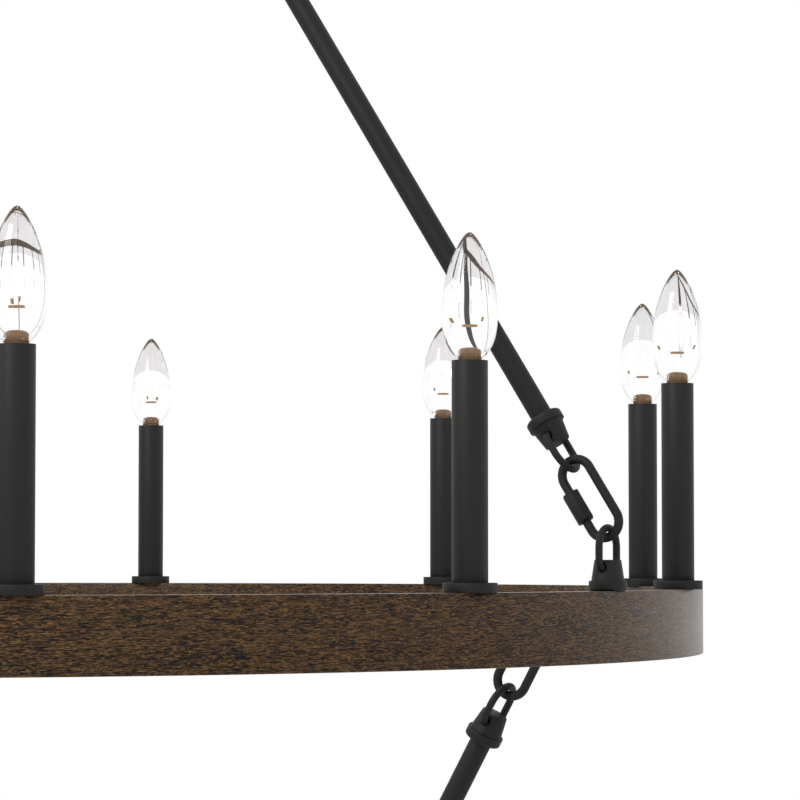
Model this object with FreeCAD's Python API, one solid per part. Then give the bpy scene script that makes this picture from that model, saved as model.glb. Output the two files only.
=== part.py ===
import FreeCAD, Part
import math
import os

from FreeCAD import Placement, Rotation, Vector

# Two-tier wagon wheel chandelier. Two wood-look steel rings carry candle lights and hang on
# slanting rods, each rod joined at both ends by a loop and a screw quick link.
# Sizes are in millimetres. The ceiling is the plane z = 0, the fixture hangs below it about
# the z axis, and azimuths are degrees from +x towards +y.

# ---- rings ----
upper_ring_diameter = 1219.2
lower_ring_diameter = 711.2
ring_width = 19.0
ring_height = 47.5
channel_wall = 1.5
cover_thickness = 2.0
cover_play = 0.1            # between the cover strip and each leg of its channel
tier_drop = 424.0           # top face of the upper ring down to that of the lower one

# ---- candles ----
upper_candles = 12
lower_candles = 6
cup_diameter = 34.8
cup_thickness = 6.3
sleeve_diameter = 23.0
sleeve_wall = 1.1
sleeve_top = 146.3          # above the ring's top face
socket_diameter = 17.8
socket_rim_drop = 1.5       # the socket's rim lies this far below the sleeve's
stem_diameter = 10.0
stem_play = 0.25            # radial, in the cup and in the channel's top wall
stem_tail = 9.0             # length of stem below the channel's top wall
base_diameter = 12.0
base_length = 22.0
base_play = 1.0             # radial, in the socket's bore
bore_spare = 2.0            # bore left free under the bulb's base
neck_diameter = 14.4
neck_height = 1.2
glass_diameter = 35.8
bulb_height = 81.3          # sleeve's rim to the tip of the glass
bulb_travel = 30.0

# ---- rods, end caps and loops ----
rods_per_tier = 3
first_rod_azimuth = -30.0
rod_diameter = 15.0
flange_diameter = 25.5
flange_height = 6.8
cone_base_diameter = 22.2
cone_top_diameter = 17.9
cone_height = 14.0
loop_wire = 5.0
loop_half_width = 13.2      # axis to the wire's centre
loop_reach = 42.1           # foot of the cap to the wire's centre at the crown of the loop
root_depth = 8.0            # the wire enters the cone this far below its top
root_half_width = 9.2
leg_rise = 6.7              # from the root to where the leg runs straight

# ---- quick links ----
link_length = 65.0
link_width = 28.0
link_wire = 6.2
nut_length = 22.0
nut_across_flats = 11.0
nut_play = 0.25             # between nut and wire, each side
nut_stop = 0.5              # short of the bend, with the nut run back
thread_overlap = 0.5        # the run-back nut clears the gap in the arm by this much
seat_gap = 0.3              # between a loop's wire and the link that bears on it

# ---- hub and ceiling plate ----
hub_to_ring = 947.0         # underside of the hub down to the upper ring's top face
hub_diameter = 115.0
hub_thickness = 8.0
hub_edge = 1.5
hub_loop_radius = 40.0
canopy_diameter = 130.0
canopy_depth = 28.0
canopy_wall = 1.2
canopy_floor_diameter = 70.0
bar_length = 112.0
bar_width = 22.0
bar_thickness = 3.0
box_screw_spacing = 88.9
box_screw_hole = 5.0
post_diameter = 12.0
barrel_diameter = 30.0
barrel_length = 26.0
barrel_in_canopy = 8.0      # part of the barrel above the canopy's floor
barrel_play = 0.4           # radial, in the canopy and in the collar
collar_diameter = 42.0
collar_thickness = 8.0
canopy_loop_half_width = 10.8
canopy_loop_reach = 40.0    # foot of the barrel to the wire's centre at the crown
canopy_leg_length = 12.0    # the legs start inside the barrel by part of this
leg_embed = 4.0

# ---- flats on small round pieces that repeat ----
ring_flats = 72
candle_flats = 8
socket_flats = 6
cap_flats = 8
rod_flats = 12
wire_flats = 6
swivel_flats = 12           # where a loop and a link turn on each other
hub_flats = 24
bend_turns = 4              # turns that make a half-round bend

# ---- places that follow from the sizes ----
link_pitch = link_length - 2 * link_wire - loop_wire - 2 * seat_gap
canopy_loop_z = -(canopy_depth - barrel_in_canopy + barrel_length + canopy_loop_reach)
hub_top_z = canopy_loop_z - link_pitch - loop_reach
hub_under_z = hub_top_z - hub_thickness
upper_top_z = hub_under_z - hub_to_ring
lower_top_z = upper_top_z - tier_drop
arm_half_width = (link_width - link_wire) / 2
arm_half_length = (link_length - link_width) / 2
nut_travel = arm_half_length - nut_length / 2 - nut_stop


def solid_of(faces):
    """A closed solid from its faces, with its inside inside."""
    solid = Part.makeSolid(Part.makeShell(faces))
    if solid.Volume < 0:
        solid.reverse()
    return solid


def flat_radius(radius, flats):
    """How far a turned piece's flats lie from its axis, its corners being as much further."""
    return radius * math.sqrt(math.cos(math.pi / flats))


def ring_points(radius, z, flats):
    corner = radius ** 2 / flat_radius(radius, flats)
    angles = [2 * math.pi * (k + 0.5) / flats for k in range(flats)]
    return [Vector(corner * math.cos(a), corner * math.sin(a), z) for a in angles]


def polygon(points):
    return Part.makePolygon(points + points[:1])


def turned(outline, flats):
    """A turned piece with a few flats. The outline is (radius, z) points, in order with the
    piece on their left, closed on itself, or starting and ending on the axis."""
    faces = []
    pairs = list(zip(outline, outline[1:] + outline[:1]))
    for (r0, z0), (r1, z1) in pairs:
        if r0 == 0 and r1 == 0:
            continue
        if z0 == z1:
            rims = [ring_points(r, z0, flats) for r in sorted((r0, r1)) if r > 0]
            inner = [polygon(rim[::-1]) for rim in rims[:-1]]
            face = Part.Face([polygon(rims[-1])] + inner)
            if face.normalAt(0, 0).z * (r0 - r1) < 0:
                face.reverse()
            faces.append(face)
            continue
        low, high = ring_points(r0, z0, flats), ring_points(r1, z1, flats)
        for k in range(flats):
            after = (k + 1) % flats
            faces.append(Part.Face(polygon([low[k], low[after], high[after], high[k]])))
    return solid_of(faces)


def bent_wire(path, diameter, flats):
    """A wire along straight runs in the x-z plane, mitred at each turn, flat where it bears."""
    sections = []
    for i, point in enumerate(path):
        before = (path[i] - path[i - 1]).normalize() if i else None
        after = (path[i + 1] - path[i]).normalize() if i + 1 < len(path) else before
        before = before or after
        run = (before + after).normalize()
        mitre = 1 / run.dot(after)
        across = run.cross(Vector(0, 1, 0))
        corner = diameter / 2 / math.cos(math.pi / flats)
        angles = [2 * math.pi * (k + 0.5) / flats for k in range(flats)]
        sections.append(
            [
                point + across * (corner * mitre * math.cos(a)) + Vector(0, corner * math.sin(a), 0)
                for a in angles
            ]
        )
    faces = [Part.Face(polygon(sections[0])), Part.Face(polygon(sections[-1]))]
    for here, there in zip(sections, sections[1:]):
        for k in range(flats):
            after = (k + 1) % flats
            faces.append(Part.Face(polygon([here[k], here[after], there[after], there[k]])))
    return solid_of(faces)


def bend(z, radius, start, end):
    """The corners of a half-round bend in the x-z plane, centred on the axis at height z."""
    step = (end - start) / bend_turns
    reach = radius / math.cos(math.radians(step / 2))
    corners = []
    for k in range(bend_turns):
        angle = math.radians(start + (k + 0.5) * step)
        corners.append(Vector(reach * math.cos(angle), 0, z + reach * math.sin(angle)))
    return corners


def quarter_turned(shape):
    """The piece with its x-z plane turned into the y-z plane."""
    shape.rotate(Vector(0, 0, 0), Vector(0, 0, 1), 90)
    return shape


def placed(shape, foot, tilt):
    """A copy with its axis tilted from +z towards +x and its foot moved to a point."""
    copy = shape.copy()
    copy.Placement = Placement(foot, Rotation(Vector(0, 1, 0), tilt)).multiply(copy.Placement)
    return copy


def around(shapes, count, first):
    """Copies of the shapes at even azimuths about the z axis."""
    copies = []
    for k in range(count):
        for shape in shapes:
            copy = shape.copy()
            copy.rotate(Vector(0, 0, 0), Vector(0, 0, 1), first + k * 360 / count)
            copies.append(copy)
    return copies


# ---- the end cap with its loop: one on every rod end, ring, and hub ----
def end_loop(flats):
    """A flanged cone with a wire loop let into its sides, pointing along +z, loop in y-z."""
    cone_top = flange_height + cone_height
    cap = turned(
        [
            (0, 0),
            (flange_diameter / 2, 0),
            (flange_diameter / 2, flange_height),
            (cone_base_diameter / 2, flange_height),
            (cone_top_diameter / 2, cone_top),
            (0, cone_top),
        ],
        cap_flats,
    )
    root_z = cone_top - root_depth
    crown = bend(loop_reach - loop_half_width, loop_half_width, 180, 0)
    left = [
        Vector(-root_half_width, 0, root_z),
        Vector(-loop_half_width, 0, root_z + leg_rise),
    ]
    right = [Vector(-p.x, 0, p.z) for p in reversed(left)]
    loop = quarter_turned(bent_wire(left + crown + right, loop_wire, flats))
    return cap.fuse(loop)


# ---- the quick link: a wire oval with a gap in one arm, closed by a hexagonal barrel nut ----
def quick_link(flats):
    """The oval in the x-z plane, long axis on z, with its open arm on the -x side."""
    gap_low = -nut_length / 2 + thread_overlap
    gap_high = -nut_length / 2 + nut_travel - thread_overlap
    path = [Vector(-arm_half_width, 0, gap_high)]
    path += bend(arm_half_length, arm_half_width, 180, 0)
    path += bend(-arm_half_length, arm_half_width, 0, -180)
    path += [Vector(-arm_half_width, 0, gap_low)]
    return bent_wire(path, link_wire, flats)


def prism(across_flats, half_length, flats):
    """A straight bar on the z axis, its flats facing x, as the wire's do."""
    corner = across_flats / 2 / math.cos(math.pi / flats)
    angles = [2 * math.pi * (k + 0.5) / flats for k in range(flats)]
    ends = [
        [Vector(corner * math.cos(a), corner * math.sin(a), z) for a in angles]
        for z in (-half_length, half_length)
    ]
    faces = [Part.Face(polygon(end)) for end in ends]
    for k in range(flats):
        after = (k + 1) % flats
        faces.append(
            Part.Face(polygon([ends[0][k], ends[0][after], ends[1][after], ends[1][k]]))
        )
    return solid_of(faces)


def barrel_nut(flats):
    """The hexagonal nut in its closed place on the quick link's open arm."""
    bore = prism(link_wire + 2 * nut_play, nut_length, flats)
    nut = prism(nut_across_flats, nut_length / 2, 6).cut(bore)
    nut.translate(Vector(-arm_half_width, 0, 0))
    return nut


# ---- a rod hung between two loops, with an end cap and a quick link at both ends ----
def hung_rod(start, end):
    """The rod, its two end caps, its two links and their nuts, between two wire centres in
    the x-z plane, the start being the upper one."""
    run = end - start
    length = run.Length
    run.normalize()
    down = math.degrees(math.atan2(run.x, run.z))
    up = down - 180 if down > 0 else down + 180
    cap_foot = link_pitch + loop_reach
    first, last = start + run * cap_foot, end - run * cap_foot
    radius, rod_length = rod_diameter / 2, length - 2 * cap_foot
    rod = turned([(0, 0), (radius, 0), (radius, rod_length), (0, rod_length)], rod_flats)
    cap = end_loop(wire_flats)
    middles = [start + run * (link_pitch / 2), end - run * (link_pitch / 2)]
    return {
        "rod": [placed(rod, first, down)],
        "caps": [placed(cap, first, up), placed(cap, last, down)],
        "links": [placed(quick_link(wire_flats), middle, up) for middle in middles],
        "nuts": [placed(barrel_nut(wire_flats), middle, up) for middle in middles],
    }


# ---- a ring: an upturned channel rolled to a circle, closed underneath by a cover strip ----
def stem_drill():
    """What the hole for a socket's stem takes away, through the cup and the channel's top."""
    hole = stem_diameter / 2 + stem_play
    low, high = -2 * channel_wall, 2 * cup_thickness
    return turned([(0, low), (hole, low), (hole, high), (0, high)], socket_flats)


def ring_channel(outer, top, candles):
    inner = outer - ring_width
    foot = top - ring_height
    roof = top - channel_wall
    channel = turned(
        [
            (outer, foot),
            (outer, top),
            (inner, top),
            (inner, foot),
            (inner + channel_wall, foot),
            (inner + channel_wall, roof),
            (outer - channel_wall, roof),
            (outer - channel_wall, foot),
        ],
        ring_flats,
    )
    drill = placed(stem_drill(), Vector(outer - ring_width / 2, 0, top), 0)
    step = 360 / candles
    return channel.cut(around([drill], candles, first_rod_azimuth + step / 2))


def ring_cover(outer, top):
    low = outer - ring_width + channel_wall + cover_play
    high = outer - channel_wall - cover_play
    foot = top - ring_height
    roof = foot + cover_thickness
    return turned([(low, foot), (high, foot), (high, roof), (low, roof)], ring_flats)


# ---- a candle light: cup, sleeve, socket and bulb, standing on z = 0 ----
def cup():
    rim = cup_diameter / 2
    disc = turned([(0, 0), (rim, 0), (rim, cup_thickness), (0, cup_thickness)], candle_flats)
    return disc.cut(stem_drill())


def sleeve():
    outer = sleeve_diameter / 2
    inner = outer - sleeve_wall
    return turned(
        [(inner, cup_thickness), (outer, cup_thickness), (outer, sleeve_top), (inner, sleeve_top)],
        candle_flats,
    )


def socket():
    """A tall lampholder on a stem that runs down through the cup and the channel's top."""
    rim = sleeve_top - socket_rim_drop
    bore = base_diameter / 2 + base_play
    floor = sleeve_top - base_length - bore_spare
    body = socket_diameter / 2
    stem = stem_diameter / 2
    tail = -channel_wall - stem_tail
    return turned(
        [
            (0, tail),
            (stem, tail),
            (stem, cup_thickness),
            (body, cup_thickness),
            (body, rim),
            (bore, rim),
            (bore, floor),
            (0, floor),
        ],
        socket_flats,
    )


def bulb():
    """A torpedo-shaped candle bulb, its base down in the socket. Its outline is the glass's
    height and half-width as shares of the bulb's own."""
    base = base_diameter / 2
    belly = glass_diameter / 2
    glass = [(0.09, 0.77), (0.27, 1.0), (0.5, 0.96), (0.76, 0.7), (1.0, 0.12)]
    outline = [
        (0, sleeve_top - base_length),
        (base, sleeve_top - base_length),
        (base, sleeve_top),
        (neck_diameter / 2, sleeve_top + neck_height),
    ]
    outline += [(belly * r, sleeve_top + bulb_height * h) for h, r in glass]
    return turned(outline + [(0, sleeve_top + bulb_height)], candle_flats)


# ---- one tier: ring, candles and the loops it hangs by ----
def tier(outer, top, candles):
    step = 360 / candles
    first = first_rod_azimuth + step / 2
    stand = Vector(outer - ring_width / 2, 0, top)
    return {
        "ring_channel": [ring_channel(outer, top, candles)],
        "ring_cover": [ring_cover(outer, top)],
        "candle_cups": around([placed(cup(), stand, 0)], candles, first),
        "candle_sleeves": around([placed(sleeve(), stand, 0)], candles, first),
        "candle_sockets": around([placed(socket(), stand, 0)], candles, first),
        "bulbs": around([placed(bulb(), stand, 0)], candles, first),
        "ring_loops": around(
            [placed(end_loop(wire_flats), stand, 0)], rods_per_tier, first_rod_azimuth
        ),
    }


# ---- ceiling plate, canopy and hub ----
def mounting_bar():
    bar = Part.makeBox(
        bar_length, bar_width, bar_thickness, Vector(-bar_length / 2, -bar_width / 2, -bar_thickness)
    )
    for side in (-1, 1):
        centre = Vector(side * box_screw_spacing / 2, 0, -2 * bar_thickness)
        bar = bar.cut(Part.makeCylinder(box_screw_hole / 2, 3 * bar_thickness, centre))
    return bar


def post():
    """The threaded post welded under the bar, which carries the barrel."""
    top = -bar_thickness
    foot = -(canopy_depth - barrel_in_canopy)
    radius = post_diameter / 2
    return turned([(0, foot), (radius, foot), (radius, top), (0, top)], cap_flats)


def canopy():
    """A pressed dish with a wide conical side and a flat floor, its rim against the ceiling."""
    rim = canopy_diameter / 2
    floor = canopy_floor_diameter / 2
    hole = barrel_diameter / 2 + barrel_play
    skirt = canopy_depth / 3
    return turned(
        [
            (rim, 0),
            (rim - canopy_wall, 0),
            (rim - canopy_wall, -skirt + canopy_wall / 2),
            (floor - canopy_wall / 2, -canopy_depth + canopy_wall),
            (hole, -canopy_depth + canopy_wall),
            (hole, -canopy_depth),
            (floor, -canopy_depth),
            (rim, -skirt),
        ],
        hub_flats,
    )


def collar():
    inner = barrel_diameter / 2 + barrel_play
    outer = collar_diameter / 2
    top = -canopy_depth
    foot = top - collar_thickness
    return turned([(inner, foot), (outer, foot), (outer, top), (inner, top)], hub_flats)


def canopy_loop():
    """The barrel that the collar screws on, with the loop that the fixture hangs from."""
    radius = barrel_diameter / 2
    barrel = turned([(0, -barrel_length), (radius, -barrel_length), (radius, 0), (0, 0)], hub_flats)
    half = canopy_loop_half_width
    crown = -barrel_length - canopy_loop_reach + half
    legs_top = -barrel_length + leg_embed
    path = [Vector(-half, 0, legs_top)] + bend(crown, half, 180, 360) + [Vector(half, 0, legs_top)]
    loop = barrel.fuse(bent_wire(path, loop_wire, swivel_flats))
    loop.translate(Vector(0, 0, -(canopy_depth - barrel_in_canopy)))
    return loop


def hub():
    radius = hub_diameter / 2
    return turned(
        [
            (0, hub_under_z),
            (radius - hub_edge, hub_under_z),
            (radius, hub_under_z + hub_edge),
            (radius, hub_top_z - hub_edge),
            (radius - hub_edge, hub_top_z),
            (0, hub_top_z),
        ],
        hub_flats,
    )


# ---- the whole fixture ----
upper_radius = upper_ring_diameter / 2
lower_radius = lower_ring_diameter / 2

hub_wire = Vector(hub_loop_radius, 0, hub_under_z - loop_reach)
upper_wire = Vector(upper_radius - ring_width / 2, 0, upper_top_z + loop_reach)
inner_wall = flat_radius(upper_radius - ring_width, ring_flats)
side_foot = Vector(inner_wall, 0, upper_top_z - ring_height / 2)
side_wire = side_foot - Vector(loop_reach, 0, 0)
lower_wire = Vector(lower_radius - ring_width / 2, 0, lower_top_z + loop_reach)

upper_rod = hung_rod(hub_wire, upper_wire)
lower_rod = hung_rod(side_wire, lower_wire)
upper_tier = tier(upper_radius, upper_top_z, upper_candles)
lower_tier = tier(lower_radius, lower_top_z, lower_candles)
top_link_middle = Vector(0, 0, canopy_loop_z - link_pitch / 2)
hub_foot = Vector(hub_loop_radius, 0, hub_under_z)


def all_rods(pieces):
    return around(pieces, rods_per_tier, first_rod_azimuth)


nodes = {
    "mounting_bar": [mounting_bar()],
    "post": [post()],
    "canopy": [canopy()],
    "canopy_collar": [collar()],
    "canopy_loop": [canopy_loop()],
    "top_link": [quarter_turned(placed(quick_link(swivel_flats), top_link_middle, 0))],
    "top_link_nut": [quarter_turned(placed(barrel_nut(swivel_flats), top_link_middle, 0))],
    "hub": [hub()],
    "hub_top_loop": [quarter_turned(placed(end_loop(swivel_flats), Vector(0, 0, hub_top_z), 0))],
    "hub_rod_loops": all_rods([placed(end_loop(wire_flats), hub_foot, 180)]),
    "drop_loops": all_rods([placed(end_loop(wire_flats), side_foot, -90)]),
}
for name, rod, tier_pieces in (("upper", upper_rod, upper_tier), ("lower", lower_rod, lower_tier)):
    nodes[f"{name}_rods"] = all_rods(rod["rod"])
    nodes[f"{name}_rod_caps"] = all_rods(rod["caps"])
    nodes[f"{name}_links"] = all_rods(rod["links"])
    for k, nut in enumerate(all_rods(rod["nuts"]), 1):
        nodes[f"{name}_link_nut_{k}"] = [nut]
    for piece, shapes in tier_pieces.items():
        if piece != "bulbs":
            nodes[f"{name}_{piece}"] = shapes
    for k, shape in enumerate(tier_pieces["bulbs"], 1):
        nodes[f"{name}_bulb_{k:02d}"] = [shape]

os.makedirs("parts", exist_ok=True)
for name, shapes in nodes.items():
    shape = shapes[0] if len(shapes) == 1 else Part.makeCompound(shapes)
    shape.exportStep(f"parts/{name}.step")
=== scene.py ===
import math

import bpy
from mathutils import Matrix, Vector


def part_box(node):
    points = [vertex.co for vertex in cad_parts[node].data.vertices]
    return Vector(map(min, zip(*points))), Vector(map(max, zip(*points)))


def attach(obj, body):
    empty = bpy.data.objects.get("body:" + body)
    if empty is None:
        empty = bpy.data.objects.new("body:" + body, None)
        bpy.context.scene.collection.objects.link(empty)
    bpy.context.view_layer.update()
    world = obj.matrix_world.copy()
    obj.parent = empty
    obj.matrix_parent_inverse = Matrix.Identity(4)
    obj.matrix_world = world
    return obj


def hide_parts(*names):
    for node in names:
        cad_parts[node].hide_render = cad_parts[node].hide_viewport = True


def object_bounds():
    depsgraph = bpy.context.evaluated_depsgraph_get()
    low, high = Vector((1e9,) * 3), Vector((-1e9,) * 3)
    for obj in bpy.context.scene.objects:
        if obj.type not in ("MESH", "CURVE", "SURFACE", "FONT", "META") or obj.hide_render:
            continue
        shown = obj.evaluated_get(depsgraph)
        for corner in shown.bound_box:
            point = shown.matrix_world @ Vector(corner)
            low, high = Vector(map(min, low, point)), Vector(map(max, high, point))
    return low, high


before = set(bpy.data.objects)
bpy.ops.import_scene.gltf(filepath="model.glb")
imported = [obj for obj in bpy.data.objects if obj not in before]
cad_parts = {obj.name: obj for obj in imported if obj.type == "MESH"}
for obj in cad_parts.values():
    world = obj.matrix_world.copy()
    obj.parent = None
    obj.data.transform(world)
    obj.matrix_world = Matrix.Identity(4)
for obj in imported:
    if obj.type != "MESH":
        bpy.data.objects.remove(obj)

cad_box = [list(corner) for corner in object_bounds()]

# ---- camera ----
# The photograph was taken with a long lens from just above the upper ring's top face, two and
# a half metres from the axis, and shows the right-hand part of the upper tier.
ring_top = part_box("upper_ring_channel")[1][2]
lens_mm = 149.63
sensor_mm = 36.0
view_limit = 60
camera_place = Vector((0.3656, -2.5167, ring_top + 0.0191))
camera_pitch = math.radians(92.795)
camera_turn = math.radians(-0.398)
bpy.ops.object.camera_add(location=camera_place, rotation=(camera_pitch, 0, camera_turn))
camera = bpy.context.object
camera.data.lens = lens_mm
camera.data.sensor_width = sensor_mm
camera.data.clip_end = view_limit
bpy.context.scene.camera = camera


# ---- studio ----
# A white studio: soft light from all round, a large soft lamp above the camera's left, and a
# pale floor well below the chandelier, which keeps its shadow. What the camera, a reflection
# or a view through glass meets behind the object is plain white.
def colour(hex_code):
    """The linear colour of an sRGB hex value."""
    parts = [int(hex_code[i:i + 2], 16) / 255 for i in (1, 3, 5)]
    return [c / 12.92 if c <= 0.04045 else ((c + 0.055) / 1.055) ** 2.4 for c in parts] + [1.0]


def node(tree, kind, settings=None, inputs=None):
    """Adds a node; an input is a plain value, or another node's output to link."""
    made = tree.nodes.new(kind)
    for key, value in (settings or {}).items():
        setattr(made, key, value)
    for key, value in (inputs or {}).items():
        if isinstance(value, bpy.types.NodeSocket):
            tree.links.new(value, made.inputs[key])
        else:
            made.inputs[key].default_value = value
    return made


def material(name, values):
    """A material with its node tree and its shader, whose sockets take constant values."""
    made = bpy.data.materials.new(name)
    made.use_nodes = True
    shader = made.node_tree.nodes["Principled BSDF"]
    for socket, value in values.items():
        shader.inputs[socket].default_value = value
    return made, made.node_tree, shader


def looked_at(tree):
    """One on a ray of the camera, a reflection or a view through glass; nought on the light
    that falls on things."""
    rays = node(tree, "ShaderNodeLightPath").outputs
    share = rays["Is Camera Ray"]
    for kind in ("Is Glossy Ray", "Is Transmission Ray"):
        share = node(tree, "ShaderNodeMath", {"operation": "MAXIMUM"},
                     {0: share, 1: rays[kind]}).outputs[0]
    return share


bpy.context.scene.view_settings.view_transform = "Standard"
room_light = 0.62
backdrop_light = 1.0
world = bpy.data.worlds.new("studio")
bpy.context.scene.world = world
world.use_nodes = True
tree = world.node_tree
tree.nodes.clear()
level = node(tree, "ShaderNodeMapRange", None,
             {"Value": looked_at(tree), "To Min": room_light, "To Max": backdrop_light})
sky = node(tree, "ShaderNodeBackground", None,
           {"Color": colour("#ffffff"), "Strength": level.outputs[0]})
node(tree, "ShaderNodeOutputWorld", None, {"Surface": sky.outputs[0]})

key_place = Vector((-1.6, -2.2, 0.9))
key_size = 1.6
key_watts = 46
key_aim = Vector((0, 0, ring_top)) - key_place
bpy.ops.object.light_add(type="AREA", location=key_place)
key = bpy.context.object
key.data.size = key_size
key.data.energy = key_watts
key.rotation_euler = key_aim.to_track_quat("-Z", "Y").to_euler()

floor_drop = 0.35
floor_radius = 8.5
floor_sides = 128
floor_glow = 0.62
floor_z = cad_box[0][2] - floor_drop
bpy.ops.mesh.primitive_circle_add(vertices=floor_sides, radius=floor_radius,
                                  fill_type="NGON", location=(0, 0, floor_z))
floor = bpy.context.object
floor.name = "floor"
paint, tree, matt = material("pale_floor", {"Base Color": colour("#f1f0ee"), "Roughness": 0.9})
share = node(tree, "ShaderNodeMath", {"operation": "MULTIPLY"},
             {0: looked_at(tree), 1: floor_glow})
bright = node(tree, "ShaderNodeEmission", None, {"Color": colour("#f6f3f4"), "Strength": 1.0})
both = node(tree, "ShaderNodeMixShader", None,
            {0: share.outputs[0], 1: matt.outputs[0], 2: bright.outputs[0]})
tree.links.new(both.outputs[0], tree.nodes["Material Output"].inputs["Surface"])
floor.data.materials.append(paint)

# ---- rings ----
# Each ring is a sheet-steel channel rolled to a circle and printed with a dark, streaky wood
# grain under a clear lacquer, which shines where the ring turns away. A flat cover strip
# closes it underneath.
mm = 0.001
same_place = 1e-6
facing = 0.9
wall = 1.5 * mm
cover_play = 0.1 * mm
cover_thick = 2.0 * mm
ring_width = 19.0 * mm
ring_steps = 240
channel_rounding = 0.5 * mm
cover_rounding = 0.2 * mm


def start():
    """Leaves edit mode and deselects everything, before a primitive is added."""
    if bpy.context.object and bpy.context.object.mode != "OBJECT":
        bpy.ops.object.mode_set(mode="OBJECT")
    bpy.ops.object.select_all(action="DESELECT")


def pick(piece, test, kind="FACE"):
    """Selects the faces or vertices that pass a test, and stays in edit mode on them."""
    bpy.ops.object.mode_set(mode="EDIT")
    bpy.ops.mesh.select_mode(type=kind)
    bpy.ops.mesh.select_all(action="DESELECT")
    bpy.ops.object.mode_set(mode="OBJECT")
    for part in piece.data.polygons if kind == "FACE" else piece.data.vertices:
        part.select = test(part)
    bpy.ops.object.mode_set(mode="EDIT")


def sealed(piece):
    """Welds the seams of the piece that is being edited, turns its faces outwards and leaves
    edit mode."""
    bpy.ops.mesh.select_all(action="SELECT")
    bpy.ops.mesh.remove_doubles(threshold=same_place)
    bpy.ops.mesh.normals_make_consistent(inside=False)
    bpy.ops.object.mode_set(mode="OBJECT")
    return piece


def modified(piece, kind, **settings):
    """Puts one modifier on a piece and applies it."""
    start()
    piece.select_set(True)
    bpy.context.view_layer.objects.active = piece
    added = piece.modifiers.new(kind, kind)
    for key, value in settings.items():
        setattr(added, key, value)
    bpy.ops.object.modifier_apply(modifier=added.name)
    return piece


def edged(piece, width, angle=28, segments=2):
    """Rounds the piece's edges and smooths its faces."""
    modified(piece, "BEVEL", width=width, segments=segments, limit_method="ANGLE",
             angle_limit=math.radians(angle), harden_normals=False)
    bpy.ops.object.shade_smooth_by_angle(angle=math.radians(angle))
    return piece


def dress(piece, finish, body, slot, *nodes):
    """Gives a finished piece its material, hangs it under its body's empty and hides the frame's
    nodes that it stands for. The slot is not used.
    """
    piece.data.materials.clear()
    piece.data.materials.append(finish)
    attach(piece, body)
    if nodes:
        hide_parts(*nodes)
    return piece


def wood_print():
    """Streaks that run round the ring: black and brown grain in broad patches, broken by
    amber flecks and thin black dashes. The real print's dots are finer than the picture can
    show, so the smallest streaks are half a millimetre high."""
    made, tree, shader = material("lacquered_wood_grain_print", {
        "Roughness": 0.3, "Specular IOR Level": 0.14,
        "Sheen Weight": 0.3, "Sheen Roughness": 0.22})
    place = node(tree, "ShaderNodeTexCoord").outputs["Object"]
    axes = node(tree, "ShaderNodeSeparateXYZ", None, {0: place}).outputs
    turn = node(tree, "ShaderNodeMath", {"operation": "ARCTAN2"}, {0: axes["Y"], 1: axes["X"]})
    level = node(tree, "ShaderNodeVectorMath", {"operation": "MULTIPLY"},
                 {0: place, 1: (1, 1, 0)})
    radius = node(tree, "ShaderNodeVectorMath", {"operation": "LENGTH"}, {0: level.outputs[0]})
    unrolled_radius = 0.6
    run = node(tree, "ShaderNodeMath", {"operation": "MULTIPLY"},
               {0: turn.outputs[0], 1: unrolled_radius})
    flat = node(tree, "ShaderNodeCombineXYZ", None,
                {0: run.outputs[0], 1: radius.outputs["Value"], 2: axes["Z"]}).outputs[0]

    def streaks(length_mm, height_mm, detail, rough):
        size = (1 / (length_mm * mm), 1 / (height_mm * mm), 1 / (height_mm * mm))
        scaled = node(tree, "ShaderNodeVectorMath", {"operation": "MULTIPLY"},
                      {0: flat, 1: size})
        return node(tree, "ShaderNodeTexNoise", None,
                    {"Vector": scaled.outputs[0], "Scale": 1.0, "Detail": detail,
                     "Roughness": rough}).outputs["Fac"]

    def added(value, weight, total):
        return node(tree, "ShaderNodeMath", {"operation": "MULTIPLY_ADD"},
                    {0: value, 1: weight, 2: total}).outputs[0]

    def layered(value, low, high, under, hex_code):
        """Lays a colour over another wherever a value lies past a soft limit."""
        share = node(tree, "ShaderNodeMapRange", {"interpolation_type": "SMOOTHSTEP"},
                     {"Value": value, "From Min": low, "From Max": high}).outputs[0]
        return node(tree, "ShaderNodeMix", {"data_type": "RGBA"},
                    {0: share, 6: under, 7: colour(hex_code)}).outputs[2]

    # Each streak's length and height in millimetres, then the noise's detail and roughness.
    fine = streaks(4.2, 0.5, 3, 0.75)
    long_grain = streaks(24, 0.9, 4, 0.75)
    patch = streaks(70, 9, 2, 0.5)
    fleck = streaks(2.8, 0.5, 2, 0.6)
    dash = streaks(7, 0.5, 2, 0.5)
    fine_weight, patch_weight = 1.6, 0.3
    grain = added(patch, patch_weight, added(fine, fine_weight, long_grain))
    # Black ground, umber and brown grain, amber flecks and black dashes, each over the last.
    tone = layered(grain, 1.26, 1.42, colour("#101112"), "#2c2219")
    tone = layered(grain, 1.36, 1.6, tone, "#62462c")
    tone = layered(fleck, 0.53, 0.62, tone, "#80603a")
    tone = layered(dash, 0.54, 0.61, tone, "#131417")
    tree.links.new(tone, shader.inputs["Base Color"])
    bump = node(tree, "ShaderNodeBump", None,
                {"Height": grain, "Strength": 0.1, "Distance": 0.0002})
    tree.links.new(bump.outputs[0], shader.inputs["Normal"])
    return made


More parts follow.
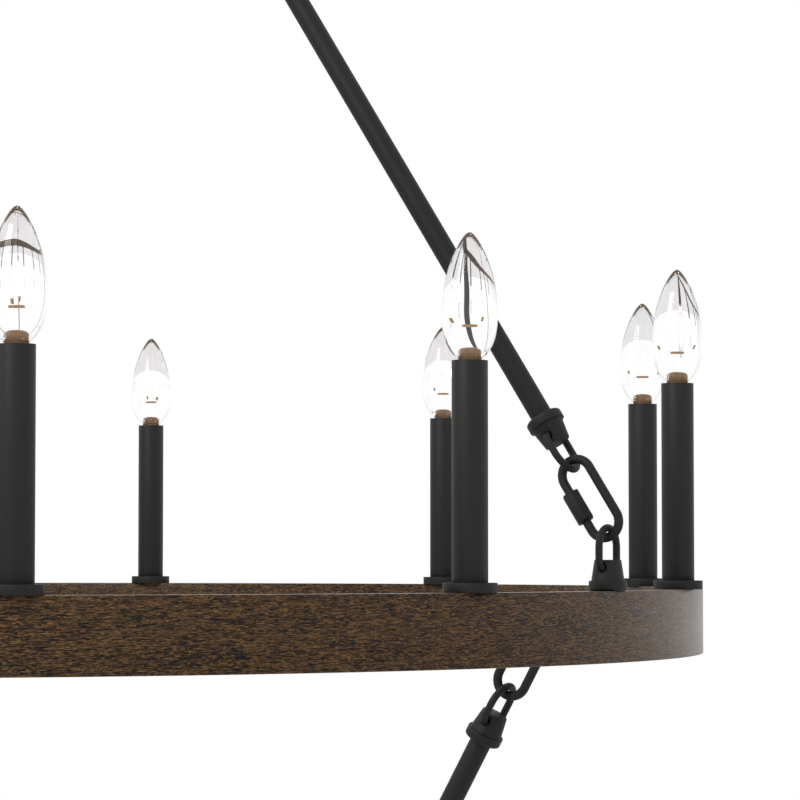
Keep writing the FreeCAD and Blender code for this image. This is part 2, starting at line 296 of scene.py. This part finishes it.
def spun_band(width, height, middle, z):
    """A closed band round the z axis, spun from a rectangle's outline."""
    start()
    bpy.ops.mesh.primitive_plane_add(size=1, location=(middle, 0, z),
                                     rotation=(math.pi / 2, 0, 0))
    piece = bpy.context.object
    piece.scale = (width, height, 1)
    bpy.ops.object.transform_apply(location=True, rotation=True, scale=True)
    bpy.ops.object.mode_set(mode="EDIT")
    bpy.ops.mesh.select_all(action="SELECT")
    bpy.ops.mesh.delete(type="ONLY_FACE")
    bpy.ops.mesh.select_all(action="SELECT")
    bpy.ops.mesh.spin(steps=ring_steps, angle=2 * math.pi, center=(0, 0, 0), axis=(0, 0, 1))
    return sealed(piece)


wood = wood_print()
for tier in ("upper", "lower"):
    low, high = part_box(f"{tier}_ring_channel")
    ring_high = high[2] - low[2]
    middle = (high[0] - low[0]) / 2 - ring_width / 2
    channel = spun_band(ring_width, ring_high, middle, (low[2] + high[2]) / 2)
    pick(channel, lambda face: face.normal.z < -facing)
    bpy.ops.mesh.inset(thickness=wall)
    bpy.ops.mesh.extrude_region_move(TRANSFORM_OT_translate={"value": (0, 0, ring_high - wall)})
    bpy.ops.object.mode_set(mode="OBJECT")
    edged(channel, channel_rounding)
    channel.name = f"{tier}_ring_printed_channel"
    dress(channel, wood, "fixture", "wood_print", f"{tier}_ring_channel")
    cover_wide = ring_width - 2 * (wall + cover_play)
    cover = spun_band(cover_wide, cover_thick, middle, low[2] + cover_thick / 2)
    edged(cover, cover_rounding)
    cover.name = f"{tier}_ring_cover_strip"
    dress(cover, wood, "fixture", "wood_print", f"{tier}_ring_cover")

# ---- wire, caps and loops ----
# Every rod end, both rings and the hub carry the same cap: a turned steel flange and cone,
# with a loop of round wire whose ends are turned in and welded into holes in the cone's sides.
flange = 25.5 * mm
flange_high = 6.8 * mm
flange_lip = 1.1 * mm
cone_foot = 22.2 * mm
cone_head = 17.9 * mm
cone_top = flange_high + 14.0 * mm
cap_core = 6.5 * mm
cap_rounding = 0.35 * mm
loop_wire = 5.0 * mm
loop_half = 13.2 * mm
loop_reach = 42.1 * mm
loop_centre = loop_reach - loop_half
leg_foot = 20.0 * mm
turn_in = 5.0 * mm
turn_in_degrees = 62
turn_in_steps = 8
tail = 3.0 * mm
weld_hole = 6.4 * mm
bend_steps = 32
rod_azimuths = (-30, 90, 210)
hub_loop_radius = 40.0 * mm


def powder_coat():
    """Steel with a matt black powder coat, baked on: a dark warm grey, a fine orange-peel
    grain that breaks up the light, and pale rims where the coat is seen at a slant."""
    made, tree, shader = material("black_powder_coated_steel", {"Specular IOR Level": 0.3})
    place = node(tree, "ShaderNodeTexCoord").outputs["Object"]
    peel_mm = 0.9
    cloud_mm = 14.0
    peel = node(tree, "ShaderNodeTexNoise", None,
                {"Vector": place, "Scale": 1 / (peel_mm * mm), "Detail": 3.0})
    cloud = node(tree, "ShaderNodeTexNoise", None,
                 {"Vector": place, "Scale": 1 / (cloud_mm * mm), "Detail": 4.0})
    tint = node(tree, "ShaderNodeMix", {"data_type": "RGBA"},
                {0: cloud.outputs["Fac"], 6: colour("#131212"), 7: colour("#1a1918")})
    tree.links.new(tint.outputs[2], shader.inputs["Base Color"])
    rough = node(tree, "ShaderNodeMapRange", None,
                 {"Value": peel.outputs["Fac"], "To Min": 0.48, "To Max": 0.66})
    tree.links.new(rough.outputs[0], shader.inputs["Roughness"])
    bump = node(tree, "ShaderNodeBump", None,
                {"Height": peel.outputs["Fac"], "Strength": 0.35, "Distance": 0.0002})
    tree.links.new(bump.outputs[0], shader.inputs["Normal"])
    return made


def raised(rings, sides):
    """A turned shell drawn up from a circle, one extruded ring after another. Rings are
    (radius, height) in metres; the ends stay open and the last ring stays selected."""
    start()
    radius, height = rings[0]
    bpy.ops.mesh.primitive_circle_add(vertices=sides, radius=radius, location=(0, 0, height))
    piece = bpy.context.object
    bpy.ops.object.transform_apply(location=True)
    bpy.ops.object.mode_set(mode="EDIT")
    bpy.ops.mesh.select_mode(type="VERT")
    bpy.ops.mesh.select_all(action="SELECT")
    for (r0, z0), (r1, z1) in zip(rings, rings[1:]):
        bpy.ops.mesh.extrude_region_move(TRANSFORM_OT_translate={"value": (0, 0, z1 - z0)})
        bpy.ops.transform.resize(value=(r1 / r0, r1 / r0, 1), center_override=(0, 0, z1))
    return piece


def turned(rings, sides):
    """A closed turned piece: a raised shell whose last and first rings are filled."""
    piece = raised(rings, sides)
    bpy.ops.mesh.edge_face_add()
    pick(piece, lambda v: abs(v.co.z - rings[0][1]) < same_place, "VERT")
    bpy.ops.mesh.edge_face_add()
    return sealed(piece)


def joined(pieces, name):
    """Makes several pieces one, under a name."""
    start()
    for piece in pieces:
        piece.select_set(True)
    bpy.context.view_layer.objects.active = pieces[0]
    if len(pieces) > 1:
        bpy.ops.object.join()
    pieces[0].name = name
    return pieces[0]


def stood(pattern, places, name):
    """Copies of a modelled piece at several places, joined as one piece with its own mesh."""
    copies = []
    for place in places:
        copy = pattern.copy()
        copy.data = pattern.data.copy()
        copy.data.transform(place)
        bpy.context.collection.objects.link(copy)
        copies.append(copy)
    return joined(copies, name)


def placed(azimuth, radius, z, tilt):
    """Stands a piece's foot at a radius and height, its axis tilted outwards from +z."""
    return (Matrix.Rotation(math.radians(azimuth), 4, "Z")
            @ Matrix.Translation((radius, 0, z)) @ Matrix.Rotation(tilt, 4, "Y"))


def wire_end(place, diameter, sides=24):
    """The flat round end of a wire that starts at a place and runs along z."""
    start()
    bpy.ops.mesh.primitive_circle_add(vertices=sides, radius=diameter / 2, location=place,
                                      fill_type="NGON")
    piece = bpy.context.object
    bpy.ops.object.transform_apply(location=True)
    bpy.ops.object.mode_set(mode="EDIT")
    bpy.ops.mesh.select_all(action="SELECT")
    return piece


def drawn(move):
    """Draws the selected end of a wire out straight."""
    bpy.ops.mesh.extrude_region_move(TRANSFORM_OT_translate={"value": move})


def bent(degrees, centre, axis, steps):
    """Draws the selected end of a wire round a bend."""
    bpy.ops.mesh.spin(steps=steps, angle=-math.radians(degrees), center=centre, axis=axis)


def smooth_wire(piece, angle=40):
    """Ends a wire, with its long sides smooth and its two ends flat."""
    sealed(piece)
    bpy.ops.object.shade_smooth_by_angle(angle=math.radians(angle))
    return piece


def end_cap():
    """The turned cap, with the holes for the wire drilled across it and a core behind them."""
    cap = turned([(flange / 2 - flange_lip, 0), (flange / 2, flange_lip),
                  (flange / 2, flange_high), (cone_foot / 2, flange_high),
                  (cone_head / 2, cone_top)], sides=56)
    hole_z = leg_foot - turn_in * math.sin(math.radians(turn_in_degrees))
    start()
    bpy.ops.mesh.primitive_cylinder_add(vertices=32, radius=weld_hole / 2, depth=flange,
                                        location=(0, 0, hole_z), rotation=(math.pi / 2, 0, 0))
    drill = bpy.context.object
    bpy.ops.object.transform_apply(location=True, rotation=True)
    start()
    bpy.ops.mesh.primitive_cylinder_add(vertices=32, radius=cap_core, depth=flange_high,
                                        location=(0, 0, hole_z))
    bpy.ops.object.transform_apply(location=True)
    core = bpy.context.object
    modified(cap, "BOOLEAN", object=drill, operation="DIFFERENCE", solver="EXACT")
    bpy.data.objects.remove(drill)
    edged(cap, cap_rounding, angle=24)
    return joined([cap, core], "end_cap")


def wire_loop():
    """The loop of wire over a cap: two legs, a half round, and both ends turned in."""
    loop = wire_end((0, loop_half, leg_foot), loop_wire)
    drawn((0, 0, loop_centre - leg_foot))
    bent(180, (0, 0, loop_centre), (1, 0, 0), bend_steps)
    drawn((0, 0, leg_foot - loop_centre))
    angle = math.radians(turn_in_degrees)
    for side in (-1, 1):
        pick(loop, lambda face: abs(face.center.z - leg_foot) < same_place
             and face.center.y * side > 0 and abs(face.normal.z) > facing)
        bent(-side * turn_in_degrees, (0, side * (loop_half - turn_in), leg_foot),
             (1, 0, 0), turn_in_steps)
        drawn((0, -side * tail * math.sin(angle), -tail * math.cos(angle)))
    return smooth_wire(loop)


coat = powder_coat()
cap_loop = joined([end_cap(), wire_loop()], "cap_and_loop")

hub_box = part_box("hub")
hub_under, hub_top = hub_box[0][2], hub_box[1][2]
upper_low, upper_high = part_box("upper_ring_channel")
upper_outer = (upper_high[0] - upper_low[0]) / 2
upper_middle = upper_outer - ring_width / 2
side_foot = upper_outer - ring_width
side_height = (upper_low[2] + upper_high[2]) / 2
lower_low, lower_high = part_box("lower_ring_channel")
lower_top = lower_high[2]
lower_middle = (lower_high[0] - lower_low[0]) / 2 - ring_width / 2

loop_feet = {
    "hub_rod_loops": (hub_loop_radius, hub_under, math.pi),
    "drop_loops": (side_foot, side_height, -math.pi / 2),
    "upper_ring_loops": (upper_middle, ring_top, 0),
    "lower_ring_loops": (lower_middle, lower_top, 0),
}
for name, foot in loop_feet.items():
    piece = stood(cap_loop, [placed(az, *foot) for az in rod_azimuths], f"{name}_bent")
    dress(piece, coat, "fixture", "black_metal", name)
piece = stood(cap_loop, [placed(90, 0, hub_top, 0)], "hub_top_loop_bent")
dress(piece, coat, "fixture", "black_metal", "hub_top_loop")

# ---- quick links ----
# An oval of round steel wire with a gap in one arm, threaded on both sides of the gap, and a
# long hexagonal nut that is screwed across it. One joins each pair of loops.
link_long = 65.0 * mm
link_wide = 28.0 * mm
link_wire = 6.2 * mm
gap_high = -4.5 * mm
gap_low = -10.5 * mm
arm = (link_wide - link_wire) / 2
arm_end = (link_long - link_wide) / 2
nut_long = 22.0 * mm
nut_flats = 11.0 * mm
nut_corner = nut_flats / 2 / math.cos(math.pi / 6)
nut_rounding = 0.5 * mm
nut_edge_degrees = 50
nut_smooth_degrees = 28
nut_play = 0.25 * mm
seat_gap = 0.3 * mm
link_pitch = link_long - 2 * link_wire - loop_wire - 2 * seat_gap

link = wire_end((-arm, 0, gap_high), link_wire)
drawn((0, 0, arm_end - gap_high))
bent(180, (0, 0, arm_end), (0, 1, 0), bend_steps)
drawn((0, 0, -2 * arm_end))
bent(180, (0, 0, -arm_end), (0, 1, 0), bend_steps)
drawn((0, 0, gap_low + arm_end))
smooth_wire(link)

start()
bpy.ops.mesh.primitive_cylinder_add(vertices=6, radius=nut_corner, depth=nut_long)
nut = bpy.context.object
modified(nut, "BEVEL", width=nut_rounding, segments=3, limit_method="ANGLE",
         angle_limit=math.radians(nut_edge_degrees))
start()
bpy.ops.mesh.primitive_cylinder_add(vertices=40, radius=link_wire / 2 + nut_play,
                                    depth=2 * nut_long)
bore = bpy.context.object
modified(nut, "BOOLEAN", object=bore, operation="DIFFERENCE", solver="EXACT")
bpy.data.objects.remove(bore)
start()
nut.select_set(True)
bpy.context.view_layer.objects.active = nut
bpy.ops.object.shade_smooth_by_angle(angle=math.radians(nut_smooth_degrees))
nut.data.transform(Matrix.Rotation(math.pi / 6, 4, "Z"))
nut.data.transform(Matrix.Translation((-arm, 0, 0)))

# ---- hanging rods ----
# Three straight steel rods a tier, slanting out from the hub to the upper ring and in from
# there to the lower ring, with a cap and loop pressed on at each end. A quick link joins each
# loop to the next.
rod_diameter = 15.0 * mm
rod_rounding = 0.4 * mm
hub_wire = Vector((hub_loop_radius, hub_under - loop_reach))
upper_wire = Vector((upper_middle, ring_top + loop_reach))
side_wire = Vector((side_foot - loop_reach, side_height))
lower_wire = Vector((lower_middle, lower_top + loop_reach))

for tier, high, low in (("upper", hub_wire, upper_wire), ("lower", side_wire, lower_wire)):
    run = (low - high).normalized()
    down = math.atan2(run.x, run.y)
    up = down + math.pi
    reach = link_pitch + loop_reach
    first, last = high + run * reach, low - run * reach
    length = (last - first).length
    rod = turned([(rod_diameter / 2, 0), (rod_diameter / 2, length)], sides=48)
    edged(rod, rod_rounding)
    rods = stood(rod, [placed(az, first.x, first.y, down) for az in rod_azimuths],
                 f"{tier}_rods_round")
    dress(rods, coat, "fixture", "black_metal", f"{tier}_rods")
    bpy.data.objects.remove(rod)
    feet = [(first, up), (last, down)]
    caps = stood(cap_loop, [placed(az, foot.x, foot.y, tilt)
                            for az in rod_azimuths for foot, tilt in feet],
                 f"{tier}_rod_caps_bent")
    dress(caps, coat, "fixture", "black_metal", f"{tier}_rod_caps")
    middles = [high + run * (link_pitch / 2), low - run * (link_pitch / 2)]
    places = [placed(az, middle.x, middle.y, up) for az in rod_azimuths for middle in middles]
    links = stood(link, places, f"{tier}_links_bent")
    dress(links, coat, "fixture", "black_metal", f"{tier}_links")
    for k, place in enumerate(places, 1):
        name = f"{tier}_link_nut_{k}"
        piece = stood(nut, [place], f"{name}_turned")
        dress(piece, coat, name, "black_metal", name)

top_link_low, top_link_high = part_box("top_link")
across = placed(90, 0, (top_link_low[2] + top_link_high[2]) / 2, 0)
dress(stood(link, [across], "top_link_bent"), coat, "top_link", "black_metal", "top_link")
dress(stood(nut, [across], "top_link_nut_turned"), coat, "top_link_nut", "black_metal",
      "top_link_nut")
for pattern in (link, nut, cap_loop):
    bpy.data.objects.remove(pattern)

# ---- candle cups and sleeves ----
# Each candle light stands on the ring: a thick round steel cup, a tall satin black sleeve, and
# inside the sleeve a moulded lampholder on a stem that goes down through cup and ring.
cup_diameter = 34.8 * mm
cup_high = 6.3 * mm
cup_rounding = 0.35 * mm
sleeve_radius = 11.5 * mm
sleeve_wall = 1.1 * mm
sleeve_top = 146.3 * mm
sleeve_rounding = 0.2 * mm
stem_radius = 5.0 * mm
stem_low = -10.5 * mm
socket_radius = 8.9 * mm
socket_top = sleeve_top - 1.5 * mm
socket_rounding = 0.25 * mm
bore_radius = 7.0 * mm
bore_floor = 122.3 * mm


def satin_sleeve():
    """Black plastic tube with a satin skin: an even dark grey with a faint fine grain."""
    made, tree, shader = material("satin_black_sleeve", {
        "Base Color": colour("#1a1918"), "Roughness": 0.5, "Specular IOR Level": 0.3})
    place = node(tree, "ShaderNodeTexCoord").outputs["Object"]
    grain_mm = 1.2
    fine = node(tree, "ShaderNodeTexNoise", None,
                {"Vector": place, "Scale": 1 / (grain_mm * mm), "Detail": 2.0})
    bump = node(tree, "ShaderNodeBump", None,
                {"Height": fine.outputs["Fac"], "Strength": 0.2, "Distance": 0.0001})
    tree.links.new(bump.outputs[0], shader.inputs["Normal"])
    return made


satin = satin_sleeve()
moulded = material("moulded_black_plastic", {"Base Color": colour("#1b1a19"),
                                             "Roughness": 0.42})[0]
cup = turned([(cup_diameter / 2, 0), (cup_diameter / 2, cup_high)], sides=72)
edged(cup, cup_rounding)
sleeve = sealed(raised([(sleeve_radius, cup_high), (sleeve_radius, sleeve_top)], sides=56))
modified(sleeve, "SOLIDIFY", thickness=sleeve_wall, offset=-1)
edged(sleeve, sleeve_rounding)
socket = turned([(stem_radius, stem_low), (stem_radius, cup_high), (socket_radius, cup_high),
                 (socket_radius, socket_top), (bore_radius, socket_top),
                 (bore_radius, bore_floor)], sides=40)
edged(socket, socket_rounding)

# ---- candle bulbs ----
# A clear torpedo-shaped glass bulb with a flame tip. Inside, an amber glass stem press stands
# on the screw base, with a small gold disc above it and a lit filament leaning in from a
# bracket on either side. Outlines are (radius, height over the sleeve) in millimetres.
glass_outline = [(6.4, -2.0), (6.9, 0.2), (8.0, 1.6), (10.6, 3.4), (13.4, 7.2), (15.3, 11.0),
                 (16.7, 16.0), (17.6, 22.0), (17.8, 28.0), (17.5, 36.0), (16.8, 44.0),
                 (15.5, 52.0), (13.4, 59.0), (10.9, 66.0), (8.3, 71.6), (5.6, 76.2),
                 (3.2, 79.3), (1.5, 80.8), (0.3, 81.2)]
press_outline = [(5.0, -1.6), (5.5, -1.0), (5.5, 7.4), (5.2, 8.6), (4.3, 9.4), (0.4, 9.6)]
contact_outline = [(1.2, -21.9), (2.3, -21.4), (2.4, -20.2), (3.4, -19.6), (5.4, -16.2)]
disc_outline = [(3.4, 21.6), (3.4, 22.7)]
thread_pitch = 1.8
thread_low, thread_high = -16.0, -2.2
thread_crest, thread_root = 6.0, 5.5
root_flat, crest_share, root_share = 0.2, 0.45, 0.9
shell_foot, shell_neck, shell_top = 5.4, 5.9, -1.2
filament_foot, filament_knee, filament_head = (8.5, 24.4), (9.7, 27.2), (4.5, 46.5)
filament_thick = 1.1
press_rounding = 0.2 * mm
metal_rounding = 0.1 * mm


def turned_mm(outline, sides):
    """A closed turned piece from an outline in millimetres over the sleeve's top."""
    return turned([(r * mm, sleeve_top + h * mm) for r, h in outline], sides)


def strut(start_at, end_at):
    """A thin round bar between two places in millimetres."""
    start_at, end_at = Vector(start_at) * mm, Vector(end_at) * mm
    start()
    bpy.ops.mesh.primitive_cylinder_add(vertices=12, radius=filament_thick * mm / 2,
                                        depth=(end_at - start_at).length)
    bar = bpy.context.object
    turn = (end_at - start_at).to_track_quat("Z", "Y").to_matrix().to_4x4()
    bar.data.transform(Matrix.Translation((start_at + end_at) / 2) @ turn)
    return bar


glass = raised([(r * mm, sleeve_top + h * mm) for r, h in glass_outline], sides=48)
bpy.ops.mesh.edge_face_add()
sealed(glass)
modified(glass, "SUBSURF", levels=1, render_levels=1)
bpy.ops.object.shade_smooth()

press = turned_mm(press_outline, sides=40)
edged(press, press_rounding)
shell_outline = [(shell_foot, thread_low)]
for k in range(int((thread_high - thread_low) / thread_pitch)):
    foot = thread_low + k * thread_pitch
    shell_outline += [(thread_root, foot + root_flat),
                      (thread_crest, foot + crest_share * thread_pitch),
                      (thread_root, foot + root_share * thread_pitch)]
shell_outline += [(shell_neck, thread_high), (shell_neck, shell_top)]
shell = turned_mm(shell_outline, sides=40)
edged(shell, metal_rounding)
contact = turned_mm(contact_outline, sides=32)
edged(contact, metal_rounding)
bars = [turned_mm(disc_outline, sides=40)]
lights = []
for side in (-1, 1):
    foot, knee, head = (Vector((side * r, 0, sleeve_top / mm + h))
                        for r, h in (filament_foot, filament_knee, filament_head))
    bars.append(strut(foot, knee))
    lights.append(strut(knee, head))

clear_glass = material("clear_bulb_glass", {
    "Base Color": colour("#ffffff"), "Transmission Weight": 1.0, "Roughness": 0.0,
    "IOR": 1.45})[0]
amber_glass = material("amber_stem_press", {"Base Color": colour("#8a6742"),
                                            "Roughness": 0.3})[0]
plated_brass = material("plated_screw_shell", {"Base Color": colour("#b59a66"),
                                               "Roughness": 0.3, "Metallic": 1.0})[0]
solder = material("solder_contact", {"Base Color": colour("#a8a6a2"),
                                     "Roughness": 0.35, "Metallic": 1.0})[0]
gold = material("gold_filament_brackets", {"Base Color": colour("#a87f45"),
                                           "Roughness": 0.4})[0]
lit = material("lit_filament", {
    "Base Color": colour("#fff1d6"), "Roughness": 0.5, "Emission Color": colour("#fff1d6"),
    "Emission Strength": 2.0})[0]
inner = [("stem_press", press, amber_glass), ("screw_shell", shell, plated_brass),
         ("contact", contact, solder), ("brackets", joined(bars, "brackets"), gold),
         ("filaments", joined(lights, "lights"), lit)]

tiers = {"upper": (12, upper_middle, ring_top), "lower": (6, lower_middle, lower_top)}
for tier, (count, radius, top_z) in tiers.items():
    step = 360 / count
    spots = [placed(rod_azimuths[0] + step / 2 + k * step, radius, top_z, 0)
             for k in range(count)]
    dress(stood(cup, spots, f"{tier}_cups_round"), coat, "fixture", "black_metal",
          f"{tier}_candle_cups")
    dress(stood(sleeve, spots, f"{tier}_sleeves_round"), satin, "fixture", "black_sleeve",
          f"{tier}_candle_sleeves")
    dress(stood(socket, spots, f"{tier}_sockets_moulded"), moulded, "fixture",
          "socket_plastic", f"{tier}_candle_sockets")
    for k, spot in enumerate(spots, 1):
        body = f"{tier}_bulb_{k:02d}"
        dress(stood(glass, [spot], f"{body}_glass"), clear_glass, body, "bulb_glass", body)
        for name, piece, finish in inner:
            made = stood(piece, [spot], f"{body}_{name}")
            made.data.materials.clear()
            made.data.materials.append(finish)
            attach(made, body)
for pattern in (cup, sleeve, socket, glass, *[piece for name, piece, finish in inner]):
    bpy.data.objects.remove(pattern)

# ---- hub ----
# A thick turned steel disc with chamfered rims, the same powder coat as the rods. The three
# upper rods hang from its underside and a loop in the middle of its top takes the quick link.
hub_radius = (hub_box[1][0] - hub_box[0][0]) / 2
hub_chamfer = 1.5 * mm
hub_rounding = 0.5 * mm
hub = turned([(hub_radius - hub_chamfer, hub_under), (hub_radius, hub_under + hub_chamfer),
              (hub_radius, hub_top - hub_chamfer), (hub_radius - hub_chamfer, hub_top)], sides=96)
edged(hub, hub_rounding)
hub.name = "hub_turned_disc"
dress(hub, coat, "fixture", "black_metal", "hub")

# ---- canopy and its collar ----
# A pressed steel dish that hides the ceiling box, with a wide conical side and a flat floor.
# The collar under it is screwed up to clamp it, and slides down with it.
canopy_radius = 65.0 * mm
canopy_deep = 28.0 * mm
canopy_floor = 35.0 * mm
canopy_wall = 1.2 * mm
canopy_rounding = 3.0 * mm
canopy_edge_degrees = 20
canopy_smooth_degrees = 28
barrel_hole = 15.4 * mm
collar_radius = 21.0 * mm
collar_foot = -canopy_deep - 8.0 * mm
collar_rounding = 0.8 * mm
canopy = sealed(raised([(barrel_hole, -canopy_deep), (canopy_floor, -canopy_deep),
                        (canopy_radius, -canopy_deep / 3), (canopy_radius, 0)], sides=120))
modified(canopy, "BEVEL", width=canopy_rounding, segments=4, limit_method="ANGLE",
         angle_limit=math.radians(canopy_edge_degrees))
modified(canopy, "SOLIDIFY", thickness=canopy_wall, offset=-1)
bpy.ops.object.shade_smooth_by_angle(angle=math.radians(canopy_smooth_degrees))
canopy.name = "canopy_pressed_dish"
dress(canopy, coat, "canopy", "black_metal", "canopy")

collar = sealed(raised([(barrel_hole, collar_foot), (collar_radius, collar_foot),
                        (collar_radius, -canopy_deep), (barrel_hole, -canopy_deep),
                        (barrel_hole, collar_foot)], sides=72))
edged(collar, collar_rounding, segments=3)
collar.name = "canopy_collar_turned"
dress(collar, coat, "canopy", "black_metal", "canopy_collar")

# ---- ceiling plate, post and top loop ----
# A flat steel bar screws to the ceiling box and carries a threaded post. The turned barrel on
# the post has the wire loop that the whole fixture hangs from. The bar is the frame's own.
barrel_radius = 15.0 * mm
barrel_top = -20.0 * mm
barrel_foot = -46.0 * mm
barrel_rounding = 0.8 * mm
top_half = 10.8 * mm
top_reach = 40.0 * mm
legs_in = 4.0 * mm
crown = barrel_foot - top_reach + top_half
barrel = turned([(barrel_radius, barrel_foot), (barrel_radius, barrel_top)], sides=72)
edged(barrel, barrel_rounding)
top_loop = wire_end((-top_half, 0, barrel_foot + legs_in), loop_wire)
drawn((0, 0, crown - barrel_foot - legs_in))
bent(-180, (0, 0, crown), (0, 1, 0), bend_steps)
drawn((0, 0, barrel_foot + legs_in - crown))
smooth_wire(top_loop)
dress(joined([barrel, top_loop], "canopy_barrel_and_loop"), coat, "ceiling_plate",
      "black_metal", "canopy_loop")

post_radius = 6.0 * mm
post_top = -3.0 * mm
post_rounding = 0.3 * mm
post = turned([(post_radius, barrel_top), (post_radius, post_top)], sides=40)
edged(post, post_rounding)
post.name = "post_threaded"
dress(post, coat, "ceiling_plate", "black_metal", "post")
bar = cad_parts["mounting_bar"]
bar.data.materials.clear()
bar.data.materials.append(coat)
